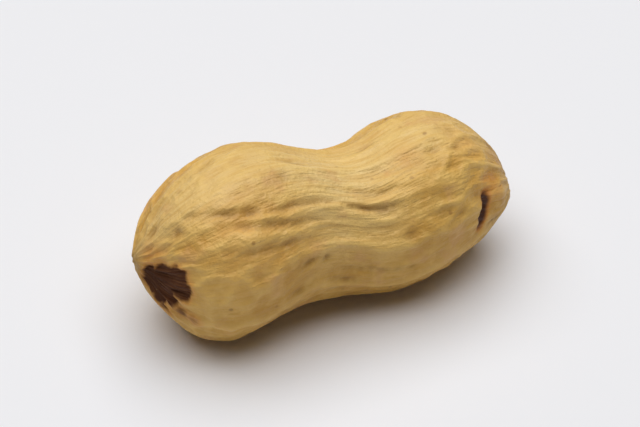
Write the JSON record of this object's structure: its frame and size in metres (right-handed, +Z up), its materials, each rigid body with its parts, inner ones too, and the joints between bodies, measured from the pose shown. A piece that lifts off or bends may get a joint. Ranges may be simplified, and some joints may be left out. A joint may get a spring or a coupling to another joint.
{
  "type": "peanut",
  "caption": "Peanut in its dry shell: a closed two-lobed pod with a narrow waist, a netted, ribbed surface, a stem scar and a short beak, lying on its side.",
  "frame": {"origin": "middle of the pod's bounding box at its underside, on the surface that it rests on", "axes": "+X along the pod from the stem end to the beak, +Y away from the side that the beak hooks towards, +Z up"},
  "size_m": [0.0372, 0.0174, 0.0168],
  "materials": {
    "pod_shell": "matte, dry and fibrous straw-tan shell, paler on its veins and browner in its pits"
  },
  "bodies": {
    "root": {"peanut_pod": "pod_shell"}
  },
  "joints": []
}
